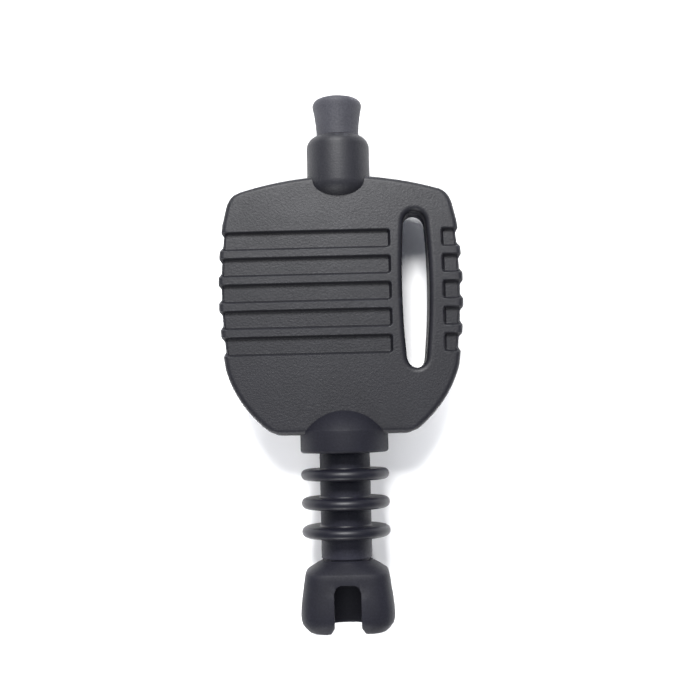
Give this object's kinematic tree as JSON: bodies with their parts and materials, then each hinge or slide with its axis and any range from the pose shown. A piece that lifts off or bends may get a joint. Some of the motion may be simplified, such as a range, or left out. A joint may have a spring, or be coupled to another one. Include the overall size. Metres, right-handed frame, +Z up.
{
  "type": "radiator bleed key",
  "caption": "Black plastic radiator bleed key: grooved paddle grip with a strap slot, sprung push knob, ringed stem and a slotted splash hood round a square socket.",
  "frame": {"origin": "under the middle of the key, on the surface it lies on", "axes": "+Y along the key's axis towards the push knob, +X to the right across the grip (the strap slot's side), +Z up out of the grip's front face"},
  "size_m": [0.0416, 0.0908, 0.0149],
  "materials": {
    "grip_plastic": "spark-eroded fine grain",
    "collar_plastic": "fine matt",
    "satin_plastic": "satin moulded",
    "ring_rubber": "satin moulded",
    "seal_rubber": "matt",
    "steel": "bright zinc",
    "spring_steel": "drawn wire"
  },
  "bodies": {
    "body": {"front_grip_shell": "grip_plastic", "rear_grip_shell": "grip_plastic", "grip_screw_1": "steel", "grip_screw_2": "steel", "grip_screw_3": "steel", "grip_screw_4": "steel", "top_collar": "collar_plastic", "return_spring": "spring_steel", "spring_washer": "steel", "stem": "satin_plastic", "rod_seal": "seal_rubber", "seal_washer": "steel", "shoulder_flange": "satin_plastic", "drip_ring_1": "ring_rubber", "drip_ring_2": "ring_rubber", "drip_ring_3": "ring_rubber", "splash_hood": "satin_plastic"},
    "plunger": {"push_knob": "collar_plastic", "push_rod": "steel", "rod_clip": "steel"}
  },
  "joints": [
    {"name": "knob_press", "type": "slide", "parent": "body", "child": "plunger", "axis": [0, -1, 0], "range_m": [0, 0.0025], "stiffness_N_per_m": 600, "springref_m": -0.003, "deforming": ["return_spring"]}
  ]
}
